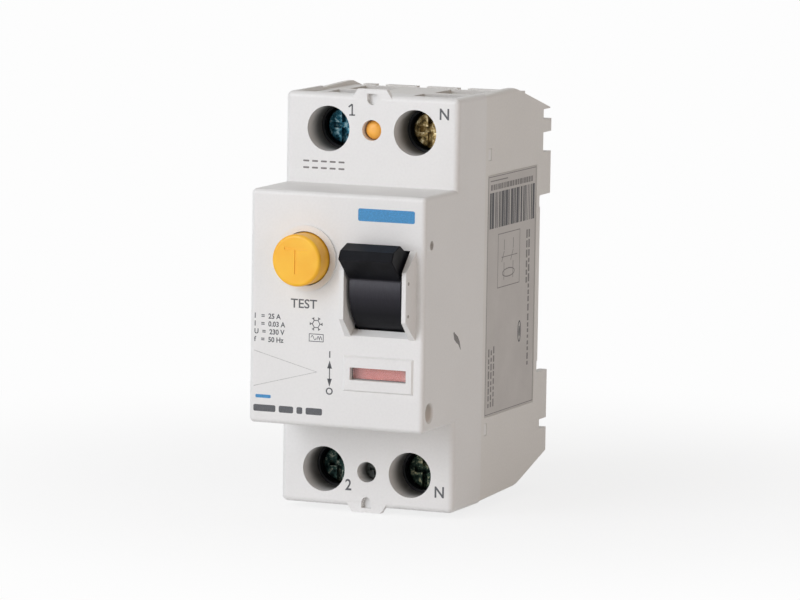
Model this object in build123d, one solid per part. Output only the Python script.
"""Two-module residual current device for a 35 mm top-hat rail, as separate pieces.

Millimetres. The front faces -Y, X runs to the right of someone who faces it, and Z is up.
The origin is the centre of the seat that lies on the rail's front face.
"""

import os
from math import cos, pi, radians, sin, sqrt

from build123d import *

# ---- Case -------------------------------------------------------------------------------
case_width = 36.0
case_height = 80.0
plate_height = 45.0
plate_y = -60.0
shoulder_y = -44.0
parting_y = -29.7
wall = 1.6
plate_wall = 2.0
rear_wall = 2.0
plate_round = 0.9
shoulder_round = 1.1
base_round = 0.7
parting_step = 0.35

half_width = case_width / 2
half_height = case_height / 2
plate_half = plate_height / 2
inner_x = half_width - wall
inner_z = half_height - wall
pole_x = case_width / 4

# ---- Recess in the top and bottom faces, between the side walls -------------------------
end_recess = 0.8
end_front_wall = 1.4
end_skin = 1.4
end_face_z = half_height - end_recess
end_inner_z = end_face_z - end_skin

# ---- Clearances -------------------------------------------------------------------------
seat_gap = 0.05
slide_gap = 0.3
pin_clearance = 0.05

# ---- Rail side --------------------------------------------------------------------------
rail_height = 35.0
rail_gap = 0.2
rail_flange = 1.0
recess_half = rail_height / 2 + rail_gap
foot_y = 5.4
seat_half = 15.4
seat_groove = 0.4
foot_rib = 1.2
foot_rib_x = half_width - 7.8
notch_y = 1.1
roof_tip_y = 4.7
roof_tip_z = half_height - 5.3
roof_break_y = -14.5
tooth_upper_top_z = roof_tip_z - 2.05
tooth_upper_z = roof_tip_z - 4.6
foot_top_z = roof_tip_z - 8.55
floor_tip_z = 6.0 - half_height
tooth_lower_top_z = floor_tip_z + 4.7
foot_bottom_z = floor_tip_z + 6.6
floor_break_y = -12.0
floor_break_z = 0.9 - half_height
foot_roof = 1.0
hook_thickness = 2.1
hook_overlap = 1.2
ridge_y = -7.4
ridge_width = 1.8
ridge_height = 0.75
ridge_gap = 2.2
ridge_pitch = case_width / 4.1

# ---- Terminals --------------------------------------------------------------------------
terminal_z = half_height - 6.9
well_radius = 4.4
well_bottom_y = -37.0
well_wall = 1.3
cup_radius = 4.6
shelf_y = -33.6
shelf_thickness = 1.0
screw_head_radius = 3.6
screw_head_height = 2.5
screw_shank_radius = 2.4
screw_pitch = 0.8
screw_slot = 1.1
screw_recess = 1.3
cage_width = 8.8
cage_height = 8.2
cage_side = 1.0
cage_front_wall = 2.4
cage_rear_wall = 1.5
cage_travel = 4.7
bar_y = -23.9
bar_thickness = 1.6
bar_width = 6.4
wire_mouth = 5.1
mouth_half = 4.0
busbar_slot = 5.0

# ---- Case screws and seal ---------------------------------------------------------------
case_screw_z = half_height - 6.85
case_hole_radius = 2.0
case_screw_seat_y = -38.0
case_screw_radius = 1.2
case_screw_head_height = 1.6
case_screw_end_y = -12.0
boss_radius = 3.4
plug_face_y = -43.3

# ---- Cover tabs -------------------------------------------------------------------------
tab_base_half = 4.2
tab_tip_half = 3.0
tab_base_z = half_height - 0.8
tab_tip_z = half_height + 1.05
tab_thickness = 1.3
tab_hole_half = 1.03
tab_hole_depth = 1.1
tab_hole_low_z = half_height - 1.95
tab_hole_top_z = half_height + 0.2

# ---- Toggle -----------------------------------------------------------------------------
pivot_y = -53.7
pivot_z = 4.7
toggle_radius = 9.2
toggle_shell = 1.4
toggle_cheek = 1.0
toggle_side_room = 0.8
grip_reach = 14.2
grip_overhang = 0.3
grip_chamfer = 0.15
grip_nose = 6.15
grip_brow = 13.3
grip_back = 10.2
grip_top = 8.9
grip_root = 1.6
toggle_travel_deg = 60.0
opening_side_gap = 0.45
opening_top_z = 12.3
opening_lip_z = -4.5
cheek_front_y = -63.9
bezel_thickness = 0.8
bezel_draft = 0.5
hub_radius = 2.6
pin_radius = 1.25
crank_radius = 4.5
crank_deg = 120.0
crank_web = 2.0

# ---- Contact mechanism ------------------------------------------------------------------
link_wire_radius = 0.6
link_reach = 14.75
link_rise = 4.1
stem_side_gap = 3.1
stem_height = 5.2
carrier_y = -22.0
carrier_thickness = 1.6
carrier_height = 9.8
bridge_y = -16.6
bridge_thickness = 1.2
bridge_width = 4.8
bridge_length = 14.4
tip_radius = 1.5
tip_thickness = 0.95
tip_spread = bridge_length / 2 - tip_radius
strip_thickness = 1.2
strip_width = 5.2
leg_drop = 1.9
frame_cheek = 1.2
frame_back_y = -27.0
frame_wall_gap = 0.2
partition_z = half_height - 14.0
partition_thickness = 1.2

# ---- Transformer ------------------------------------------------------------------------
ring_bottom_gap = 1.0
ring_y = -15.0
ring_depth = 10.0
ring_outer = (partition_z - 4.0) / 2
ring_inner = 5.0
ring_wall = 0.7
ring_z = ring_outer + ring_bottom_gap - partition_z
core_outer = ring_outer - 1.6
core_inner = ring_inner + 1.6
core_depth = 7.2
primary_radius = 1.2
primary_offset = 2.2
primary_bend = 1.9

# ---- Board and relay --------------------------------------------------------------------
board_y = -31.2
board_thickness = 1.6
board_left_x = 1.5 - inner_x
board_right_x = -1.4
board_half = partition_z - 3.0
relay_front_y = -44.0
relay_top_z = -7.0
relay_height = 13.4
relay_inset = 0.4
plunger_x = -pole_x
plunger_y = -38.0
plunger_radius = 1.0
plunger_top_z = -1.6
lever_pivot_x = 2.2
lever_half_width = 1.0
lever_pin_radius = 0.8
lever_lift_gap = 0.4

# ---- Test button ------------------------------------------------------------------------
button_x = 2.5 - pole_x
button_z = 9.7
button_radius = 5.0
button_face_y = -64.7
button_round = 0.6
button_travel = 2.0
collar_radius = 6.35
collar_height = 0.45
guide_wall = 1.4
guide_depth = 4.1
button_flange = 0.7
button_stem_radius = 1.3
button_stem_end_y = -43.9
wing_y = -46.2
wing_thickness = 1.2
strip_metal = 0.3

# ---- Indicator --------------------------------------------------------------------------
side_mark_y = plate_y + 3.3
slot_z = 13.2
slot_half = 0.8
slot_rise = 0.1
slot_depth = 0.9
dimple_z = -18.8
dimple_radius = 2.05
dimple_sphere = 2.6
window_x = pole_x - 0.2
window_z = -11.75
window_width = 11.5
window_height = 2.4
window_frame_width = 14.4
window_frame_height = 6.9
window_frame_rise = 0.35
lens_thickness = 1.1
lens_flange = 0.5
flag_width = window_width + 0.9
flag_travel = 3.1
flag_thickness = 1.0
flag_mark = 0.15
flag_gap = 0.2

# ---- Rail latch -------------------------------------------------------------------------
latch_travel = 3.0
latch_thickness = 2.5
latch_half_width = foot_rib_x - 1.1
latch_bottom_z = floor_tip_z + 4.3
latch_tail_half = 3.0
latch_tail_z = floor_tip_z - 0.6
latch_window_top_z = -recess_half - 3.3
latch_window_half = 2.0
latch_peg_half = 1.6
latch_peg_height = 1.4
latch_peg_z = floor_tip_z + 5.8

# ---- Label ------------------------------------------------------------------------------
label_y0 = -28.3
label_y1 = -2.0
label_z0 = 16.6 - half_height
label_z1 = half_height - 16.0
label_recess = 0.15
label_thickness = 0.12

# ---- Snap hooks -------------------------------------------------------------------------
snap_upper_z = half_height - 12.0
snap_lower_z = 14.3 - half_height
snap_y = -27.5
snap_half = 1.2
snap_tongue = 1.1
snap_nub_half = 0.68

# ---- Places that follow from the sizes above ---------------------------------------------
frame_x1 = inner_x - frame_wall_gap
toggle_x1 = frame_x1 - frame_cheek - toggle_side_room
toggle_width = 2 * (toggle_x1 - pole_x)
toggle_x0 = toggle_x1 - toggle_width
stem_width = toggle_width - 2 * stem_side_gap
web_x1 = pole_x + stem_width / 2 - 0.2
web_x0 = web_x1 - crank_web
frame_x0 = toggle_x0 - toggle_side_room - frame_cheek
opening_x0 = toggle_x0 - grip_overhang - opening_side_gap
opening_x1 = toggle_x1 + grip_overhang + opening_side_gap
crank_y = pivot_y - crank_radius * cos(radians(crank_deg))
crank_z = pivot_z + crank_radius * sin(radians(crank_deg))
link_end_y = crank_y + link_reach
carrier_z = crank_z + link_rise
contact_travel = 2 * crank_radius * sin(radians(toggle_travel_deg / 2))
bridge_back_y = bridge_y + bridge_thickness
contact_y = bridge_back_y + tip_thickness
strip_y = contact_y + tip_thickness
strip_back_y = strip_y + strip_thickness
bar_back_y = bar_y + bar_thickness
cage_inner_back_y = bar_back_y + wire_mouth
cage_back_y = cage_inner_back_y + cage_rear_wall
cage_front_y = shelf_y + shelf_thickness + 0.5 + cage_travel
cage_inner_front_y = cage_front_y + cage_front_wall
screw_head_y = shelf_y - 0.1 - screw_head_height
screw_end_y = bar_y - 0.8
board_back_y = board_y + board_thickness
strip_seat_y = button_stem_end_y + button_travel + 0.3
strip_post_x = button_x - 8.1
plate_inner_y = plate_y + plate_wall
leg_z = partition_z - leg_drop


# ---- Shape helpers ------------------------------------------------------------------------
def block(x0, x1, y0, y1, z0, z1):
    """A box between two opposite corners."""
    centre = Pos((x0 + x1) / 2, (y0 + y1) / 2, (z0 + z1) / 2)
    return centre * Box(abs(x1 - x0), abs(y1 - y0), abs(z1 - z0))


def rod_x(x0, x1, y, z, radius):
    """A round bar along X."""
    return Pos((x0 + x1) / 2, y, z) * Rot(0, 90, 0) * Cylinder(radius, abs(x1 - x0))


def rod_y(x, y0, y1, z, radius):
    """A round bar along Y."""
    return Pos(x, (y0 + y1) / 2, z) * Rot(90, 0, 0) * Cylinder(radius, abs(y1 - y0))


def rod_z(x, y, z0, z1, radius):
    """A round bar along Z."""
    return Pos(x, y, (z0 + z1) / 2) * Cylinder(radius, abs(z1 - z0))


def slab_yz(points, x0, x1):
    """A side-view outline, carried from x0 to x1."""
    face = make_face(Polyline(*points, close=True))
    return extrude(Plane.YZ.offset(x0) * face, amount=x1 - x0, dir=(1, 0, 0))


def slab_xz(points, y0, y1):
    """A front-view outline, carried from y0 to y1."""
    face = make_face(Polyline(*points, close=True))
    return extrude(Plane.XZ.offset(-y0) * face, amount=y1 - y0, dir=(0, 1, 0))


def slab_xy(points, z0, z1):
    """A top-view outline, carried from z0 to z1."""
    face = make_face(Polyline(*points, close=True))
    return extrude(Plane.XY.offset(z0) * face, amount=z1 - z0, dir=(0, 0, 1))


def capsule_yz(start, end, radius, x0, x1):
    """A side-view bar with round ends, between two (y, z) points."""
    dy = end[0] - start[0]
    dz = end[1] - start[1]
    length = (dy * dy + dz * dz) ** 0.5
    ny = -dz / length * radius
    nz = dy / length * radius
    corners = [
        (start[0] + ny, start[1] + nz),
        (end[0] + ny, end[1] + nz),
        (end[0] - ny, end[1] - nz),
        (start[0] - ny, start[1] - nz),
    ]
    ends = rod_x(x0, x1, start[0], start[1], radius) + rod_x(x0, x1, end[0], end[1], radius)
    return slab_yz(corners, x0, x1) + ends


def coil(length, radius, wire, turns):
    """A helical spring of round wire that stands on the XY plane."""
    pitch = (length - 2 * wire) / turns
    path = Helix(pitch=pitch, height=length - 2 * wire, radius=radius)
    start = Plane(origin=path @ 0, z_dir=path % 0)
    return Pos(0, 0, wire) * sweep(start * Circle(wire), path=path, is_frenet=True)


def wire_run(points, radius, bend):
    """A round wire along straight runs joined by equal arcs."""
    path = FilletPolyline(*points, radius=bend)
    start = Plane(origin=path @ 0, z_dir=path % 0)
    return sweep(start * Circle(radius), path=path)


def both(shape):
    """The shape and its mirror image on the other side of x = 0."""
    return shape + mirror(shape, about=Plane.YZ)


# ---- Case pieces --------------------------------------------------------------------------
def roof_z(y):
    """Height of the sloping roof over the rail side at depth y."""
    share = (y - roof_break_y) / (roof_tip_y - roof_break_y)
    return half_height + share * (roof_tip_z + 0.2 - half_height)


def floor_z(y):
    """Height of the sloping underside at depth y."""
    share = (y - floor_break_y) / (foot_y - floor_break_y)
    return floor_break_z + share * (floor_tip_z - floor_break_z)


def front_cover():
    nose = block(-half_width, half_width, plate_y, shoulder_y + wall, -plate_half, plate_half)
    nose_edges = nose.edges().filter_by(Axis.Y) + nose.faces().sort_by(Axis.Y)[0].edges()
    nose = fillet(nose_edges, plate_round)
    body = block(-half_width, half_width, shoulder_y, parting_y, -half_height, half_height)
    body_edges = body.edges().filter_by(Axis.Y) + body.faces().sort_by(Axis.Y)[0].edges()
    body = fillet(body_edges, shoulder_round)
    cover = nose + body
    nose_z = plate_half - wall
    cover -= block(-inner_x, inner_x, plate_inner_y, shoulder_y + wall + 1, -nose_z, nose_z)
    cover -= block(-inner_x, inner_x, shoulder_y + wall, parting_y + 1, -end_inner_z, end_inner_z)
    for side in (-1, 1):
        cover -= block(-inner_x, inner_x, shoulder_y + end_front_wall, parting_y + 1,
                       side * end_face_z, side * (half_height + 1))
    cover += cover_terminal_bosses()
    cover += toggle_bezel()
    cover += rod_y(button_x, plate_y - collar_height, plate_y + 0.5, button_z, collar_radius)
    guide_radius = button_radius + 0.2 + guide_wall
    cover += rod_y(button_x, plate_y + 0.5, plate_inner_y + guide_depth, button_z, guide_radius)
    cover += window_frame()
    cover += cover_tabs()
    cover += snap_tongues()
    cover -= cover_openings()
    cover -= side_marks()
    return cover


def cover_terminal_bosses():
    """Tubes round the screw wells and the two case-screw bosses."""
    tube_radius = well_radius + well_wall
    bosses = None
    for side in (-1, 1):
        boss = rod_y(0, shoulder_y + 0.5, parting_y, side * case_screw_z, boss_radius)
        bosses = boss if bosses is None else bosses + boss
        for pole in (-1, 1):
            place_z = side * terminal_z
            bosses += rod_y(pole * pole_x, shoulder_y + 0.5, well_bottom_y, place_z, tube_radius)
    return bosses & block(-inner_x - 0.5, inner_x + 0.5, shoulder_y, parting_y,
                          -end_inner_z - 0.5, end_inner_z + 0.5)


def toggle_bezel():
    """Two thin cheeks that stand up on each side of the toggle."""
    rise_top_z = opening_top_z - 3.8
    fall_bottom_z = opening_lip_z + 3.5
    outline = [
        (plate_y + 0.5, opening_top_z),
        (plate_y, opening_top_z),
        (cheek_front_y, rise_top_z),
        (cheek_front_y, fall_bottom_z),
        (plate_y, opening_lip_z - 0.2),
        (plate_y + 0.5, opening_lip_z - 0.2),
    ]
    cheeks = None
    for edge, way in ((opening_x0, -1), (opening_x1, 1)):
        foot_x = edge + way * (bezel_thickness + bezel_draft)
        front_x = edge + way * bezel_thickness
        cheek = slab_yz(outline, min(edge, foot_x), max(edge, foot_x))
        beyond_x = foot_x + way * 1.0
        draft = [
            (front_x, cheek_front_y - 0.5),
            (foot_x, plate_y),
            (foot_x, plate_y + 1),
            (beyond_x, plate_y + 1),
            (beyond_x, cheek_front_y - 0.5),
        ]
        cheek -= slab_xy(draft, opening_lip_z - 2, opening_top_z + 2)
        cheeks = cheek if cheeks is None else cheeks + cheek
    return cheeks


def window_frame():
    """A low bevelled frame round the indicator window, and the flag's guides behind it."""
    raised = Pos(window_x, plate_y, window_z) * Rot(90, 0, 0) * Rectangle(
        window_frame_width, window_frame_height)
    frame = extrude(raised, amount=window_frame_rise, dir=(0, -1, 0), taper=45)
    frame += block(window_x - window_frame_width / 2, window_x + window_frame_width / 2,
                   plate_y, plate_y + 0.5,
                   window_z - window_frame_height / 2, window_z + window_frame_height / 2)
    guide_x = flag_width / 2 + flag_gap
    for side in (-1, 1):
        near = window_x + side * guide_x
        far = near + side * 0.5
        frame += block(near, far, plate_inner_y - 0.5, plate_inner_y + 1.8,
                       window_z - 5.9, window_z + 5.2)
    return frame


def cover_tabs():
    """Trapezoid lugs at the middle of the cover's top and bottom edges."""
    tabs = None
    for side in (-1, 1):
        outline = [
            (-tab_base_half, side * tab_base_z),
            (tab_base_half, side * tab_base_z),
            (tab_tip_half, side * tab_tip_z),
            (-tab_tip_half, side * tab_tip_z),
        ]
        tab = slab_xz(outline, shoulder_y, shoulder_y + tab_thickness)
        tabs = tab if tabs is None else tabs + tab
    return tabs


def snap_tongues():
    """Four tongues that reach behind the base's walls, each with a nub for a window there."""
    tongues = None
    for place_z in (snap_upper_z, snap_lower_z):
        inner = inner_x - seat_gap - snap_tongue
        tongue = block(inner, inner_x + 0.3, parting_y - 3.5, parting_y,
                       place_z - snap_half - 0.8, place_z + snap_half + 0.8)
        tongue += block(inner, inner_x - seat_gap, parting_y, snap_y + 1.2,
                        place_z - snap_half - 0.8, place_z + snap_half + 0.8)
        nub = block(inner, half_width - 0.05, snap_y - snap_nub_half, snap_y + snap_nub_half,
                    place_z - snap_half + 0.07, place_z + snap_half - 0.07)
        tongue += nub
        tongues = tongue if tongues is None else tongues + tongue
    return both(tongues)


def cover_openings():
    """Everything cut through the cover from the front."""
    guide_end_y = plate_inner_y + guide_depth + 1
    holes = rod_y(button_x, plate_y - 2, guide_end_y, button_z, button_radius + 0.2)
    holes += toggle_opening()
    window = block(window_x - window_width / 2, window_x + window_width / 2,
                   plate_y - 2, plate_y + 3,
                   window_z - window_height / 2, window_z + window_height / 2)
    holes += window
    for side in (-1, 1):
        hole_z = side * case_screw_z
        holes += rod_y(0, shoulder_y - 1, case_screw_seat_y, hole_z, case_hole_radius)
        holes += rod_y(0, case_screw_seat_y, parting_y + 1, hole_z, case_screw_radius + 0.15)
        holes += tab_hole(side)
        for pole in (-1, 1):
            x = pole * pole_x
            z = side * terminal_z
            holes += rod_y(x, shoulder_y - 1, well_bottom_y + 1, z, well_radius)
            slot_z0 = side * (end_inner_z - 1)
            slot_z1 = side * (half_height + 1)
            holes += block(x - busbar_slot, x + busbar_slot, parting_y - 3.4, parting_y + 1,
                           slot_z0, slot_z1)
    return holes


def tab_hole(side):
    """A blind D-shaped recess in a lug, flat on its outer side."""
    centre_z = side * (tab_hole_low_z + tab_hole_half)
    floor_y = shoulder_y + tab_hole_depth
    recess = rod_y(0, shoulder_y - 1, floor_y, centre_z, tab_hole_half)
    recess += block(-tab_hole_half, tab_hole_half, shoulder_y - 1, floor_y,
                    centre_z, side * tab_hole_top_z)
    return recess


def toggle_opening():
    """The slot that the toggle swings in, with a sloping lower lip."""
    outline = [
        (cheek_front_y - 2, opening_top_z),
        (plate_inner_y + 1, opening_top_z),
        (plate_inner_y + 1, opening_lip_z + 2.4),
        (plate_inner_y, opening_lip_z + 1.6),
        (plate_y, opening_lip_z),
        (cheek_front_y - 2, opening_lip_z),
    ]
    slot = slab_yz(outline, opening_x0, opening_x1)
    return slot + rod_x(opening_x0, opening_x1, pivot_y, pivot_z, toggle_radius + slide_gap)


def side_marks():
    """A small round pit and a dimple moulded into each side of the cover's nose."""
    low, high = (side_mark_y, slot_z - slot_rise), (side_mark_y, slot_z + slot_rise)
    slot = capsule_yz(low, high, slot_half, half_width - slot_depth, half_width + 1)
    offset = sqrt(dimple_sphere ** 2 - dimple_radius ** 2)
    dimple = Pos(half_width + offset, side_mark_y, dimple_z) * Sphere(dimple_sphere)
    return both(slot + dimple)


def base_housing():
    roof_line_z = half_height - parting_step
    outline = [
        (parting_y, roof_line_z),
        (roof_break_y - 3.5, half_height),
        (roof_break_y, half_height),
        (roof_tip_y, roof_tip_z + 0.2),
        (roof_tip_y, roof_tip_z),
        (notch_y, roof_tip_z),
        (notch_y, tooth_upper_top_z),
        (foot_y, tooth_upper_top_z),
        (foot_y, tooth_upper_z),
        (notch_y, tooth_upper_z),
        (notch_y, foot_top_z),
        (foot_y, foot_top_z),
        (foot_y, recess_half),
        (0, recess_half),
        (0, -recess_half),
        (foot_y, -recess_half),
        (foot_y, foot_bottom_z),
        (notch_y + 0.5, foot_bottom_z),
        (notch_y + 0.5, tooth_lower_top_z),
        (foot_y, tooth_lower_top_z),
        (foot_y, floor_tip_z),
        (floor_break_y, floor_break_z),
        (parting_y, -roof_line_z),
    ]
    base = slab_yz(outline, -half_width, half_width)
    long_edges = [
        edge for edge in base.edges()
        if abs(abs(edge.center().X) - half_width) < 0.01
        and abs(edge.center().Z) > half_height - 2.4
        and edge.length > 3
    ]
    base = fillet(long_edges, base_round)
    base -= roof_recess()
    base -= base_cavity()
    base -= foot_bays()
    base += roof_ridge()
    base += rail_hook()
    base += base_partitions()
    base += base_posts()
    base += latch_guides()
    base -= base_cuts()
    base -= seat_grooves()
    return base


def seat_grooves():
    """Shallow grooves above and below the seat, so that the rail lies on the seat alone."""
    upper = block(-half_width - 1, half_width + 1, -seat_groove, 0.5, seat_half, recess_half - 0.1)
    return upper + block(-half_width - 1, half_width + 1, -seat_groove, 0.5,
                         -recess_half + 0.1, -seat_half)


def roof_recess():
    """The roof lies a little below the side walls, and so does the underside in front."""
    last_y = roof_tip_y + 1
    top = [
        (parting_y - 1, half_height + 1),
        (parting_y - 1, end_face_z),
        (roof_break_y, end_face_z),
        (last_y, roof_z(last_y) - end_recess),
        (last_y, half_height + 1),
    ]
    underside = [
        (parting_y - 1, -half_height - 1),
        (parting_y - 1, -end_face_z),
        (roof_break_y, -end_face_z),
        (roof_break_y, -half_height - 1),
    ]
    return slab_yz(top, -inner_x, inner_x) + slab_yz(underside, -inner_x, inner_x)


def base_cavity():
    """The hollow inside the base, open to the front."""
    back_y = -rear_wall
    slope_wall = end_recess + end_skin
    outline = [
        (parting_y - 1, end_inner_z),
        (roof_break_y, end_inner_z),
        (back_y, roof_z(back_y) - slope_wall),
        (back_y, floor_z(back_y) + wall),
        (floor_break_y, floor_break_z + wall),
        (roof_break_y, -end_inner_z),
        (parting_y - 1, -end_inner_z),
    ]
    return slab_yz(outline, -inner_x, inner_x)


def foot_bays():
    """Hollows between the side walls and ribs on the rail side."""
    bays = None
    spans = (
        (-inner_x, -foot_rib_x - foot_rib / 2),
        (-foot_rib_x + foot_rib / 2, foot_rib_x - foot_rib / 2),
        (foot_rib_x + foot_rib / 2, inner_x),
    )
    for x0, x1 in spans:
        bay = block(x0, x1, 0, foot_y + 2, recess_half - 1, roof_tip_z - end_recess)
        bay += block(x0, x1, 0, foot_y + 2, floor_tip_z + foot_roof, -recess_half + 1)
        bays = bay if bays is None else bays + bay
    return bays


def roof_ridge():
    """A low rib across the sloping roof, broken by four gaps."""
    roof = roof_z(ridge_y)
    rib = block(-inner_x - 0.5, inner_x + 0.5, ridge_y - ridge_width / 2,
                ridge_y + ridge_width / 2, roof - end_recess - 0.8, roof + ridge_height)
    for place in (-1.5, -0.5, 0.5, 1.5):
        x = place * ridge_pitch
        rib -= block(x - ridge_gap / 2, x + ridge_gap / 2, ridge_y - 2, ridge_y + 2,
                     roof - end_recess + 0.1, roof + 2)
    return rib


def rail_hook():
    """The fixed hook over the rail's upper flange."""
    hook_y0 = rail_flange + slide_gap
    hook_y1 = hook_y0 + hook_thickness
    bay_x = foot_rib_x - foot_rib / 2
    lip_z = rail_height / 2 - hook_overlap
    hook = block(-bay_x, bay_x, 0, hook_y1, recess_half, recess_half + 3.6)
    return hook + block(-bay_x, bay_x, hook_y0, hook_y1, lip_z, recess_half)


def base_partitions():
    """Walls that part the terminals from each other and from the mechanism."""
    walls = None
    for side in (-1, 1):
        shelf = block(-inner_x - 0.5, inner_x + 0.5, parting_y, -rear_wall,
                      side * partition_z, side * (partition_z + partition_thickness))
        middle = block(-0.8, 0.8, parting_y, -rear_wall,
                       side * partition_z, side * (case_screw_z + 2))
        boss = rod_y(0, parting_y, -rear_wall, side * case_screw_z, boss_radius)
        walls = shelf if walls is None else walls + shelf
        walls += middle + boss
        for x0, x1 in ((board_left_x + 0.1, board_left_x + 2.3), (board_right_x - 2.2, board_right_x)):
            walls += block(x0, x1, board_back_y, board_back_y + 1.2,
                           side * (board_half - 0.9), side * (partition_z + 0.5))
    return walls


def base_posts():
    """Posts behind the contact strips, under the frame and under the transformer."""
    back_y = -rear_wall + 0.5
    posts = block(frame_x0 - 0.4, frame_x0 + frame_cheek + 0.4, frame_back_y, back_y, -2, 2)
    posts += block(inner_x - 1.4, inner_x + 0.5, frame_back_y, back_y, -2, 2)
    for pole in (-1, 1):
        x = pole * pole_x
        for tip in (-1, 1):
            z = carrier_z + tip * tip_spread
            posts += block(x - 1.8, x + 1.8, strip_back_y + seat_gap, back_y, z - 1.9, z + 2.1)
        posts += block(x - 1.2, x + 1.2, ring_y + ring_depth / 2 + seat_gap, back_y,
                       ring_z - 6.2, ring_z - 3.8)
    posts += block(-1.5, 1.5, ring_y + ring_depth / 2 + seat_gap, back_y,
                   ring_z + ring_inner + 1.2, ring_z + ring_outer - 1.0)
    return posts


def latch_guides():
    """Rails and a peg that hold the rail latch against the base's back."""
    bay_x = foot_rib_x - foot_rib / 2
    guide_y = slide_gap + latch_thickness + 0.2
    guides = None
    for side in (-1, 1):
        rail = block(side * (bay_x - 1.3), side * (bay_x + 0.2), guide_y, guide_y + 0.9,
                     latch_bottom_z + 0.7, -recess_half - 2.3)
        guides = rail if guides is None else guides + rail
    peg = block(-latch_peg_half, latch_peg_half, -0.5, slide_gap + latch_thickness,
                latch_peg_z, latch_peg_z + latch_peg_height)
    return guides + peg


def base_cuts():
    """Cable mouths, busbar slots, bar slots, screw holes, snap windows, label recess."""
    cuts = None
    for side in (-1, 1):
        pilot = rod_y(0, parting_y - 1, case_screw_end_y + 1, side * case_screw_z,
                      case_screw_radius + pin_clearance)
        cuts = pilot if cuts is None else cuts + pilot
        outer_z = side * (half_height + 1)
        for pole in (-1, 1):
            x = pole * pole_x
            cuts += block(x - mouth_half, x + mouth_half, bar_y - 0.6, cage_inner_back_y + 0.9,
                          side * (end_inner_z - 1.5), outer_z)
            cuts += block(x - busbar_slot, x + busbar_slot, parting_y - 1, parting_y + 2.2,
                          side * (end_inner_z - 1.5), outer_z)
            half_bar = bar_width / 2 + 0.1
            cuts += block(x - half_bar, x + half_bar, parting_y - 1, bar_back_y + seat_gap,
                          side * (partition_z - 0.5), side * (partition_z + partition_thickness + 0.5))
    for place_z in (snap_upper_z, snap_lower_z):
        window_half = snap_nub_half + 0.07
        window = block(inner_x - 1.5, half_width + 1, snap_y - window_half, snap_y + window_half,
                       place_z - snap_half, place_z + snap_half)
        room = block(inner_x - snap_tongue - 0.4, inner_x, parting_y - 1, snap_y + 1.5,
                     place_z - snap_half - 1.2, place_z + snap_half + 1.2)
        cuts += both(window + room)
    cuts += block(half_width - label_recess, half_width + 1, label_y0, label_y1, label_z0, label_z1)
    tail_half = latch_tail_half + 0.4
    cuts += block(-tail_half, tail_half, 0, slide_gap + latch_thickness + 0.5,
                  floor_tip_z - 4, floor_tip_z + foot_roof + 0.5)
    return cuts


def window_lens():
    """A clear insert that fills the window from behind."""
    flange_y = plate_inner_y
    half_w = window_width / 2 - seat_gap
    half_h = window_height / 2 - seat_gap
    lens = block(window_x - half_w, window_x + half_w, flange_y - lens_thickness, flange_y + 0.1,
                 window_z - half_h, window_z + half_h)
    lens += block(window_x - half_w - lens_flange, window_x + half_w + lens_flange,
                  flange_y + 0.02, flange_y + 0.32,
                  window_z - half_h - lens_flange, window_z + half_h + lens_flange)
    return lens


def seal_plug():
    """A domed plug pressed into the hole over the upper case screw."""
    radius = case_hole_radius - seat_gap
    back_y = case_screw_seat_y - case_screw_head_height - 0.1
    body = rod_y(0, plug_face_y, back_y, case_screw_z, radius)
    rim = body.faces().sort_by(Axis.Y)[0].edges()
    return fillet(rim, radius * 0.75)


def case_screws():
    """Two long screws that hold the cover to the base."""
    screws = None
    for side in (-1, 1):
        z = side * case_screw_z
        head_y = case_screw_seat_y - case_screw_head_height
        screw = rod_y(0, head_y, case_screw_seat_y, z, case_hole_radius - 0.2)
        screw += rod_y(0, case_screw_seat_y, case_screw_end_y, z, case_screw_radius)
        screw -= block(-0.3, 0.3, head_y - 1, head_y + 0.7, z - 1.2, z + 1.2)
        screw -= block(-1.2, 1.2, head_y - 1, head_y + 0.7, z - 0.3, z + 0.3)
        screws = screw if screws is None else screws + screw
    return screws


def side_label():
    """The rating label in its recess on the right-hand side."""
    x0 = half_width - label_recess
    return block(x0, x0 + label_thickness, label_y0 + 0.1, label_y1 - 0.1,
                 label_z0 + 0.1, label_z1 - 0.1)


# ---- Toggle and mechanism -----------------------------------------------------------------
def polar_yz(angle_deg, radius):
    """A point about the toggle's pivot, its angle measured from the front upwards."""
    angle = radians(angle_deg)
    return (pivot_y - radius * cos(angle), pivot_z + radius * sin(angle))


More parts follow.
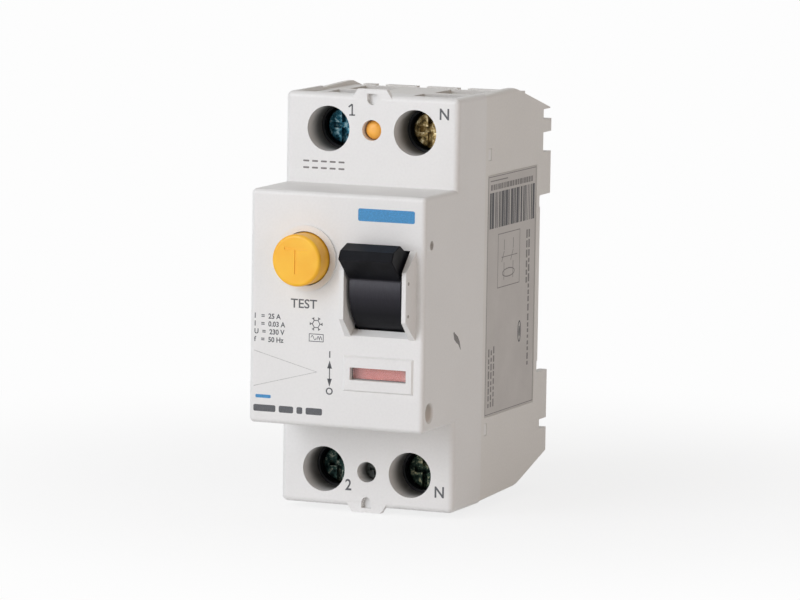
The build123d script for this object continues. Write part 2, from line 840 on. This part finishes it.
def toggle():
    inside_x0 = toggle_x0 + toggle_cheek
    inside_x1 = toggle_x1 - toggle_cheek
    shell = rod_x(toggle_x0, toggle_x1, pivot_y, pivot_z, toggle_radius)
    shell -= rod_x(inside_x0, inside_x1, pivot_y, pivot_z, toggle_radius - toggle_shell)
    rear = [(pivot_y, pivot_z)]
    rear += [polar_yz(angle, toggle_radius * 1.6) for angle in range(118, 295, 22)]
    shell -= slab_yz(rear, inside_x0, inside_x1)
    grip_half = toggle_width / 2 + grip_overhang
    finger = slab_yz(finger_outline(), pole_x - grip_half, pole_x + grip_half)
    end_edges = [
        edge for edge in finger.edges()
        if abs(abs(edge.center().X - pole_x) - grip_half) < 0.01
        and edge.center().Y < pivot_y - toggle_radius
    ]
    finger = chamfer(end_edges, grip_chamfer)
    for edge_x, way in ((toggle_x0, -1), (toggle_x1, 1)):
        beyond_x = edge_x + way * (grip_overhang + 1)
        finger -= rod_x(min(edge_x, beyond_x), max(edge_x, beyond_x), pivot_y, pivot_z,
                        toggle_radius)
    body = shell + finger
    body += rod_x(toggle_x0, toggle_x1, pivot_y, pivot_z, hub_radius)
    body += capsule_yz((pivot_y, pivot_z), (crank_y, crank_z), 1.6, web_x0, web_x1)
    body -= rod_x(toggle_x0 - 1, toggle_x1 + 1, pivot_y, pivot_z, pin_radius + pin_clearance)
    body -= rod_x(web_x0 - 1, web_x1 + 0.5, crank_y, crank_z, link_wire_radius + pin_clearance)
    return body


def finger_outline():
    """Side view of the grip that stands out of the toggle's drum."""
    root_y = pivot_y - toggle_radius / 2
    return [
        (pivot_y - 0.6 * toggle_radius, pivot_z + 0.7 * toggle_radius),
        (pivot_y - grip_back, pivot_z + grip_top),
        (pivot_y - grip_brow, pivot_z + grip_top - 1.05),
        (pivot_y - grip_reach, pivot_z + grip_nose),
        (pivot_y - toggle_radius + 0.4, pivot_z + grip_root),
        (root_y, pivot_z + grip_root),
        (root_y, pivot_z + grip_root + 3.4),
    ]


def toggle_pin():
    return rod_x(frame_x0, frame_x1, pivot_y, pivot_z, pin_radius)


def toggle_spring():
    """Torsion spring round the toggle's hub."""
    wire = 0.35
    radius = hub_radius + wire + 0.3
    start_x = toggle_x0 + toggle_cheek + 0.3
    length = web_x0 - start_x - 1.2
    place = Pos(start_x, pivot_y, pivot_z) * Rot(0, 90, 0)
    return place * coil(length, radius, wire, 4)


def link_wire():
    """A bent wire from the toggle's crank to the contact carrier."""
    side_x = pole_x + stem_width / 2 + 0.8
    near_x = web_x0 - 0.2
    r = link_wire_radius
    link = rod_x(near_x, side_x, crank_y, crank_z, r)
    link += rod_x(pole_x - stem_width / 2 + 1.0, side_x, link_end_y, carrier_z, r)
    link += capsule_yz((crank_y, crank_z), (link_end_y, carrier_z), r, side_x - r, side_x + r)
    return link


def contact_carrier():
    """The slide that carries both poles' moving contacts."""
    stem_front_y = link_end_y - 1.8
    half_stem = stem_width / 2
    low = carrier_z - stem_height / 2
    high = carrier_z + stem_height / 2
    carrier = block(pole_x - half_stem, pole_x + half_stem, stem_front_y,
                    carrier_y + carrier_thickness, low, high)
    bar_half = pole_x + bridge_width / 2 + 3.2
    carrier += block(-bar_half, bar_half, carrier_y, carrier_y + carrier_thickness,
                     carrier_z - carrier_height / 2, carrier_z + carrier_height / 2)
    for pole in (-1, 1):
        for side in (-1, 1):
            inner = pole * pole_x + side * (bridge_width / 2 + 0.1)
            outer = inner + side * 1.1
            carrier += block(inner, outer, carrier_y, bridge_back_y + 1.2,
                             carrier_z - 1.8, carrier_z + 1.8)
            carrier += block(inner - side * 0.7, outer, bridge_back_y + 0.4, bridge_back_y + 1.2,
                             carrier_z - 1.8, carrier_z + 1.8)
    r = link_wire_radius + pin_clearance
    slot = capsule_yz((link_end_y, carrier_z - 0.1), (link_end_y, carrier_z + 0.8), r + 0.1,
                      pole_x - half_stem + 0.7, pole_x + half_stem + 1)
    return carrier - slot


def moving_contacts():
    """One bridge for each pole."""
    bridges = None
    for pole in (-1, 1):
        x = pole * pole_x
        bridge = block(x - bridge_width / 2, x + bridge_width / 2, bridge_y, bridge_back_y,
                       carrier_z - bridge_length / 2, carrier_z + bridge_length / 2)
        bridges = bridge if bridges is None else bridges + bridge
    return bridges


def contact_tips(y0, y1):
    """Four round contact faces between two depths."""
    tips = None
    for pole in (-1, 1):
        for side in (-1, 1):
            tip = rod_y(pole * pole_x, y0, y1, carrier_z + side * tip_spread, tip_radius)
            tips = tip if tips is None else tips + tip
    return tips


def contact_springs():
    springs = None
    length = bridge_y - carrier_y - carrier_thickness
    for pole in (-1, 1):
        place = Pos(pole * pole_x, carrier_y + carrier_thickness, carrier_z) * Rot(-90, 0, 0)
        spring = place * coil(length, 1.6, 0.25, 4)
        springs = spring if springs is None else springs + spring
    return springs


def upper_contact(pole):
    """Bar from an upper terminal to that pole's fixed contact."""
    x = pole * pole_x
    half_bar = bar_width / 2
    half_strip = strip_width / 2
    top_z = terminal_z + cage_height / 2 - 0.6
    bar = block(x - half_bar, x + half_bar, bar_y, bar_back_y, leg_z, top_z)
    bar += block(x - half_strip, x + half_strip, bar_y, strip_back_y, leg_z, leg_z + strip_thickness)
    low_z = carrier_z + tip_spread - 2.2
    bar += block(x - half_strip, x + half_strip, strip_y, strip_back_y, low_z, leg_z + strip_thickness)
    return bar


def lower_bars():
    """Bars in the two lower terminals, where the primary wires begin."""
    bars = None
    low_z = -(terminal_z + cage_height / 2 - 0.6)
    for pole in (-1, 1):
        x = pole * pole_x
        bar = block(x - bar_width / 2, x + bar_width / 2, bar_y, bar_back_y,
                    low_z, -partition_z + 1.5)
        bars = bar if bars is None else bars + bar
    return bars


def lower_contacts():
    """Fixed strips on the load side of both poles."""
    strips = None
    z = carrier_z - tip_spread
    for pole in (-1, 1):
        x = pole * pole_x
        strip = block(x - strip_width / 2, x + strip_width / 2, strip_y, strip_back_y,
                      z - 5.5, z + 2.2)
        strips = strip if strips is None else strips + strip
    return strips


def primary_wire(pole):
    """Insulated wire from a lower terminal through the ring to the lower contact."""
    x = pole * pole_x
    hole_x = pole * primary_offset
    front_y = bar_y - primary_radius - seat_gap
    back_y = strip_back_y + primary_radius + seat_gap
    loop_y = ring_y + ring_depth / 2 + 3.0
    top_z = carrier_z - tip_spread - 2.7
    points = [
        (x, front_y, -partition_z - 2.4),
        (x, front_y, ring_z - 8.5),
        (hole_x, front_y, ring_z),
        (hole_x, loop_y, ring_z),
        (x, loop_y, ring_z + 8.8),
        (x, back_y, ring_z + 12.6),
        (x, back_y, top_z),
    ]
    return wire_run(points, primary_radius, primary_bend)


def mechanism_frame():
    """Moulded frame that carries the toggle, guides the carrier and backs the test contact."""
    outline = [
        (pivot_y - 3.4, pivot_z - 3.2),
        (pivot_y - 3.4, pivot_z + 3.2),
        (pivot_y + 4.0, pivot_z + 8.0),
        (wing_y + 2, carrier_z + 7.0),
        (frame_back_y, carrier_z + 7.0),
        (frame_back_y, -6.0),
        (wing_y + 2, -6.0),
        (pivot_y + 4.0, pivot_z - 8.0),
    ]
    frame = slab_yz(outline, frame_x0, frame_x0 + frame_cheek)
    frame += slab_yz(outline, frame_x1 - frame_cheek, frame_x1)
    frame += rod_x(frame_x0, toggle_x0 - 0.1, pivot_y, pivot_z, hub_radius)
    frame += rod_x(toggle_x1 + 0.1, frame_x1, pivot_y, pivot_z, hub_radius)
    cross_y = frame_back_y - 4.0
    cross = block(frame_x0, frame_x1, cross_y, cross_y + 1.6, -6.0, carrier_z + 7.0)
    cross -= block(pole_x - stem_width / 2 - slide_gap, pole_x + stem_width / 2 + slide_gap,
                   cross_y - 1, cross_y + 3,
                   carrier_z - stem_height / 2 - slide_gap, carrier_z + stem_height / 2 + slide_gap)
    frame += cross
    frame += block(-inner_x + 0.5, frame_x0 + 0.5, wing_y, wing_y + wing_thickness, 3.0, 16.0)
    post_y = wing_y + wing_thickness
    frame += block(strip_post_x, strip_post_x + 2.4, post_y - 0.3, strip_seat_y,
                   button_z - 2.1, button_z + 2.1)
    frame -= rod_y(button_x, wing_y - 1, wing_y + 3, button_z, button_stem_radius + slide_gap)
    frame += lever_bosses()
    frame -= block(frame_x0 - 2, frame_x0 + frame_cheek + 2, plunger_y - 2, plunger_y + 2, -4.6, 2.6)
    frame -= rod_y(lever_pivot_x, plunger_y - 6, plunger_y + 6, 0, lever_pin_radius + 0.02)
    frame -= rod_x(frame_x0 - 1, frame_x1 + 1, pivot_y, pivot_z, pin_radius + 0.02)
    return frame


def lever_bosses():
    """Two bearings for the trip lever's pin on the frame's inner cheek."""
    half = 1.5
    bosses = block(lever_pivot_x - half, lever_pivot_x + half, plunger_y - 4.0, plunger_y - 1.9,
                   -half, half)
    return bosses + block(lever_pivot_x - half, lever_pivot_x + half, plunger_y + 1.9,
                          plunger_y + 4.0, -half, half)


def trip_lever():
    """Rocker that the relay's plunger lifts to release the contacts."""
    y0 = plunger_y - lever_half_width
    y1 = plunger_y + lever_half_width
    arm_low = plunger_top_z + lever_lift_gap
    lever = rod_y(lever_pivot_x, plunger_y - 1.6, plunger_y + 1.6, 0, 1.6)
    lever += block(plunger_x - 1.2, lever_pivot_x, y0, y1, arm_low, arm_low + 1.6)
    finger_x1 = pole_x - 1.6
    lever += block(lever_pivot_x, finger_x1, y0, y1, -1.0, 1.0)
    lever += block(finger_x1 - 2.2, finger_x1, y0, y1, -1.0, carrier_z - stem_height / 2 - 0.6)
    return lever - rod_y(lever_pivot_x, y0 - 2, y1 + 2, 0, lever_pin_radius + pin_clearance)


def lever_pin():
    return rod_y(lever_pivot_x, plunger_y - 3.9, plunger_y + 3.9, 0, lever_pin_radius)


# ---- Transformer ---------------------------------------------------------------------------
def ring(outer, inner, y0, y1):
    """A flat ring about the transformer's axis."""
    return rod_y(0, y0, y1, ring_z, outer) - rod_y(0, y0 - 1, y1 + 1, ring_z, inner)


def transformer_case():
    front_y = ring_y - ring_depth / 2
    back_y = ring_y + ring_depth / 2
    case = ring(ring_outer, ring_inner, front_y, back_y)
    return case - ring(ring_outer - ring_wall, ring_inner + ring_wall, front_y - 1, back_y - 0.6)


def transformer_core():
    return ring(core_outer, core_inner, ring_y - core_depth / 2, ring_y + core_depth / 2)


def secondary_winding():
    """Fine wire wound all round the core, with its two ends led to the board."""
    half = core_depth / 2 + 0.7
    winding = ring(ring_outer - ring_wall - 0.1, ring_inner + ring_wall + 0.1,
                   ring_y - half, ring_y + half)
    winding -= ring(core_outer + seat_gap, core_inner - seat_gap,
                    ring_y - core_depth / 2 - seat_gap, ring_y + core_depth / 2 + seat_gap)
    for x in (2.0 - ring_outer, 3.6 - ring_outer):
        winding += rod_y(x, board_back_y + seat_gap, ring_y - half + 0.3, ring_z + 2.0, 0.3)
    return winding


# ---- Board and relay -------------------------------------------------------------------------
def circuit_board():
    board = block(board_left_x, board_right_x, board_y, board_back_y, -board_half, board_half)
    for x, z in relay_pin_places():
        board -= rod_y(x, board_y - 1, board_back_y + 1, z, 0.5)
    return board


def relay_pin_places():
    low_z = relay_top_z - relay_height
    return [
        (board_left_x + 2.5, low_z + 2.5),
        (board_right_x - 4.0, low_z + 2.5),
        (board_left_x + 2.5, relay_top_z - 2.5),
        (board_right_x - 4.0, relay_top_z - 2.5),
    ]


def trip_relay():
    """Sealed permanent-magnet relay with its solder pins."""
    back_y = board_y - seat_gap
    relay = block(board_left_x + relay_inset, board_right_x - 2.0, relay_front_y, back_y,
                  relay_top_z - relay_height, relay_top_z)
    relay = chamfer(relay.edges().filter_by(Axis.Z), 0.6)
    relay -= rod_z(plunger_x, plunger_y, relay_top_z - 5.4, relay_top_z + 1,
                   plunger_radius + pin_clearance)
    for x, z in relay_pin_places():
        relay += rod_y(x, back_y - 0.5, board_back_y + 0.9, z, 0.4)
    return relay


def relay_plunger():
    return rod_z(plunger_x, plunger_y, relay_top_z - 4.0, plunger_top_z, plunger_radius)


def filter_capacitor():
    return rod_y(-5.2, board_y - 6.0, board_y - seat_gap, 18.2, 2.5)


def rectifier_diodes():
    diodes = None
    for z in (-3.2, -5.4):
        diode = rod_x(-13.0, -9.0, board_y - 1.0, z, 0.9)
        for x in (-13.6, -8.4):
            diode += rod_y(x, board_y - 1.0, board_y - seat_gap, z, 0.25)
        diode += rod_x(-13.6, -8.4, board_y - 1.0, z, 0.25)
        diodes = diode if diodes is None else diodes + diode
    return diodes


def test_resistor():
    """Axial resistor on bent leads."""
    x = -12.4
    y = board_y - 3.6
    resistor = rod_z(x, y, 3.0, 12.6, 1.6)
    resistor += rod_z(x, y, 1.4, 14.2, 0.3)
    for z in (1.6, 14.0):
        resistor += rod_y(x, y, board_y - seat_gap, z, 0.3)
    return resistor


# ---- Test button -----------------------------------------------------------------------------
def test_button():
    flange_front_y = plate_inner_y + guide_depth + slide_gap
    back_y = flange_front_y + 1.2
    hollow_y = button_face_y + 3.2
    body = rod_y(button_x, button_face_y, back_y, button_z, button_radius)
    rim = body.faces().sort_by(Axis.Y)[0].edges()
    body = fillet(rim, button_round)
    body += rod_y(button_x, flange_front_y, back_y, button_z, button_radius + button_flange)
    body -= rod_y(button_x, hollow_y, back_y + 1, button_z, button_radius - 1.0)
    body += rod_y(button_x, hollow_y - 0.5, button_stem_end_y, button_z, button_stem_radius)
    engraving = 0.15
    face_y = button_face_y - 1
    body -= block(button_x - 2.4, button_x + 2.4, face_y, button_face_y + engraving,
                  button_z + 2.0, button_z + 2.55)
    body -= block(button_x - 0.28, button_x + 0.28, face_y, button_face_y + engraving,
                  button_z - 2.6, button_z + 2.1)
    return body


def button_spring():
    start_y = button_face_y + 3.2 + seat_gap
    length = wing_y - seat_gap - start_y
    place = Pos(button_x, start_y, button_z) * Rot(-90, 0, 0)
    return place * coil(length, button_stem_radius + 1.6, 0.3, 7)


def test_contact_strip():
    """Thin spring strip that the button's stem bends onto the pin."""
    free_y = button_stem_end_y + slide_gap
    fixed_y = strip_seat_y + seat_gap
    outline = [
        (strip_post_x, fixed_y),
        (strip_post_x + 2.5, fixed_y),
        (button_x - 2.6, free_y),
        (button_x + 1.9, free_y),
        (button_x + 1.9, free_y + strip_metal),
        (button_x - 2.6, free_y + strip_metal),
        (strip_post_x + 2.5, fixed_y + strip_metal),
        (strip_post_x, fixed_y + strip_metal),
    ]
    return slab_xy(outline, button_z - 1.6, button_z + 1.6)


def test_contact_pin():
    return rod_y(button_x, strip_seat_y - 0.1, board_y - seat_gap, button_z, 0.6)


# ---- Indicator -------------------------------------------------------------------------------
def flag_limits():
    """Low, middle and high edges of the flag: the window looks at its lower half."""
    half = flag_travel / 2
    return (window_z - half - 0.15, window_z + half, window_z + half + flag_travel + 0.15)


def indicator_slide():
    low, middle, high = flag_limits()
    front_y = plate_inner_y + 0.6
    half = flag_width / 2
    flag = block(window_x - half, window_x + half, front_y, front_y + flag_thickness, low, high)
    flag += block(window_x - 1.5, window_x + 1.5, front_y + flag_thickness, front_y + 6.5,
                  low + 1.0, low + 3.0)
    return flag


def indicator_mark(z0, z1):
    """A coloured face on the front of the indicator slide."""
    back_y = plate_inner_y + 0.6
    half = flag_width / 2
    return block(window_x - half, window_x + half, back_y - flag_mark, back_y, z0, z1)


# ---- Terminals -------------------------------------------------------------------------------
def terminal_screw(pole, side):
    x = pole * pole_x
    z = side * terminal_z
    head_back_y = screw_head_y + screw_head_height
    head = rod_y(x, screw_head_y, head_back_y, z, screw_head_radius)
    head = fillet(head.faces().sort_by(Axis.Y)[0].edges(), 0.5)
    screw = head + rod_y(x, head_back_y, screw_end_y, z, screw_shank_radius)
    deep_y = screw_head_y + screw_recess
    screw -= block(x - screw_slot / 2, x + screw_slot / 2, screw_head_y - 1, deep_y, z - 5, z + 5)
    screw -= block(x - 2.2, x + 2.2, screw_head_y - 1, deep_y, z - screw_slot / 2, z + screw_slot / 2)
    return screw


def terminal_clamp(pole, side):
    """Lift clamp: a steel cage threaded on the terminal screw."""
    x = pole * pole_x
    z = side * terminal_z
    half_w = cage_width / 2
    half_h = cage_height / 2
    cage = block(x - half_w, x + half_w, cage_front_y, cage_back_y, z - half_h, z + half_h)
    cage = fillet(cage.edges().filter_by(Axis.Z), 0.8)
    cage -= block(x - half_w + cage_side, x + half_w - cage_side, cage_inner_front_y,
                  cage_inner_back_y, z - half_h - 1, z + half_h + 1)
    return cage - rod_y(x, cage_front_y - 1, cage_inner_front_y + 1, z,
                        screw_shank_radius + pin_clearance)


def screw_cups():
    """Dark cups behind the four wells, each with the seat for a terminal screw's head."""
    cups = None
    for pole in (-1, 1):
        for side in (-1, 1):
            x = pole * pole_x
            z = side * terminal_z
            back_y = shelf_y + shelf_thickness
            cup = rod_y(x, well_bottom_y + seat_gap, back_y, z, cup_radius)
            cup -= rod_y(x, well_bottom_y - 1, shelf_y, z, screw_head_radius + slide_gap)
            cup -= rod_y(x, shelf_y - 1, back_y + 1, z, screw_shank_radius + slide_gap)
            cups = cup if cups is None else cups + cup
    return cups


# ---- Rail latch ------------------------------------------------------------------------------
def rail_latch():
    """Sliding catch under the rail's lower flange, with a tail for a screwdriver."""
    y0 = slide_gap
    y1 = slide_gap + latch_thickness
    catch_y = rail_flange + slide_gap + 0.1
    catch_z = -rail_height / 2 + hook_overlap + 0.4
    half = latch_half_width
    plate_top_z = -recess_half - 0.3
    latch = block(-half, half, y0, y1, latch_bottom_z, plate_top_z)
    lip_half = half - 1.4
    lip = [
        (catch_y, plate_top_z - 1.2),
        (catch_y, catch_z - 0.3),
        (catch_y + 0.3, catch_z),
        (catch_y + 0.9, catch_z),
        (catch_y + 2.0, catch_z - 1.6),
        (catch_y + 2.0, plate_top_z - 1.2),
    ]
    latch += slab_yz(lip, -lip_half, lip_half)
    latch += block(-latch_tail_half, latch_tail_half, y0, y1, latch_tail_z, latch_bottom_z)
    return latch - block(-latch_window_half, latch_window_half, y0 - 1, y1 + 1,
                         latch_peg_z - slide_gap, latch_window_top_z)


def latch_spring():
    z0 = latch_peg_z + latch_peg_height + seat_gap
    length = latch_window_top_z - seat_gap - z0
    return Pos(0, slide_gap + latch_thickness / 2, z0) * coil(length, 1.1, 0.2, 5)


# ---- All pieces ------------------------------------------------------------------------------
def all_pieces():
    low, middle, high = flag_limits()
    pieces = {
        "base_housing": base_housing(),
        "front_cover": front_cover(),
        "window_lens": window_lens(),
        "seal_plug": seal_plug(),
        "case_screws": case_screws(),
        "screw_cups": screw_cups(),
        "side_label": side_label(),
        "mechanism_frame": mechanism_frame(),
        "toggle": toggle(),
        "toggle_pin": toggle_pin(),
        "toggle_spring": toggle_spring(),
        "link_wire": link_wire(),
        "contact_carrier": contact_carrier(),
        "moving_contacts": moving_contacts(),
        "moving_contact_tips": contact_tips(bridge_back_y, contact_y),
        "contact_springs": contact_springs(),
        "line_upper_contact": upper_contact(-1),
        "neutral_upper_contact": upper_contact(1),
        "fixed_contact_tips": contact_tips(contact_y, strip_y),
        "lower_contacts": lower_contacts(),
        "lower_terminal_bars": lower_bars(),
        "line_primary_wire": primary_wire(-1),
        "neutral_primary_wire": primary_wire(1),
        "transformer_case": transformer_case(),
        "transformer_core": transformer_core(),
        "secondary_winding": secondary_winding(),
        "circuit_board": circuit_board(),
        "trip_relay": trip_relay(),
        "relay_plunger": relay_plunger(),
        "trip_lever": trip_lever(),
        "trip_lever_pin": lever_pin(),
        "filter_capacitor": filter_capacitor(),
        "rectifier_diodes": rectifier_diodes(),
        "test_resistor": test_resistor(),
        "test_button": test_button(),
        "test_button_spring": button_spring(),
        "test_contact_strip": test_contact_strip(),
        "test_contact_pin": test_contact_pin(),
        "indicator_slide": indicator_slide(),
        "indicator_on_mark": indicator_mark(low, middle),
        "indicator_off_mark": indicator_mark(middle, high),
        "rail_latch": rail_latch(),
        "rail_latch_spring": latch_spring(),
    }
    names = {-1: "line", 1: "neutral"}
    ends = {-1: "lower", 1: "upper"}
    for pole, pole_name in names.items():
        for side, end_name in ends.items():
            pieces[f"{pole_name}_{end_name}_screw"] = terminal_screw(pole, side)
            pieces[f"{pole_name}_{end_name}_clamp"] = terminal_clamp(pole, side)
    return pieces


os.makedirs("parts", exist_ok=True)
for name, shape in all_pieces().items():
    export_step(shape, f"parts/{name}.step")
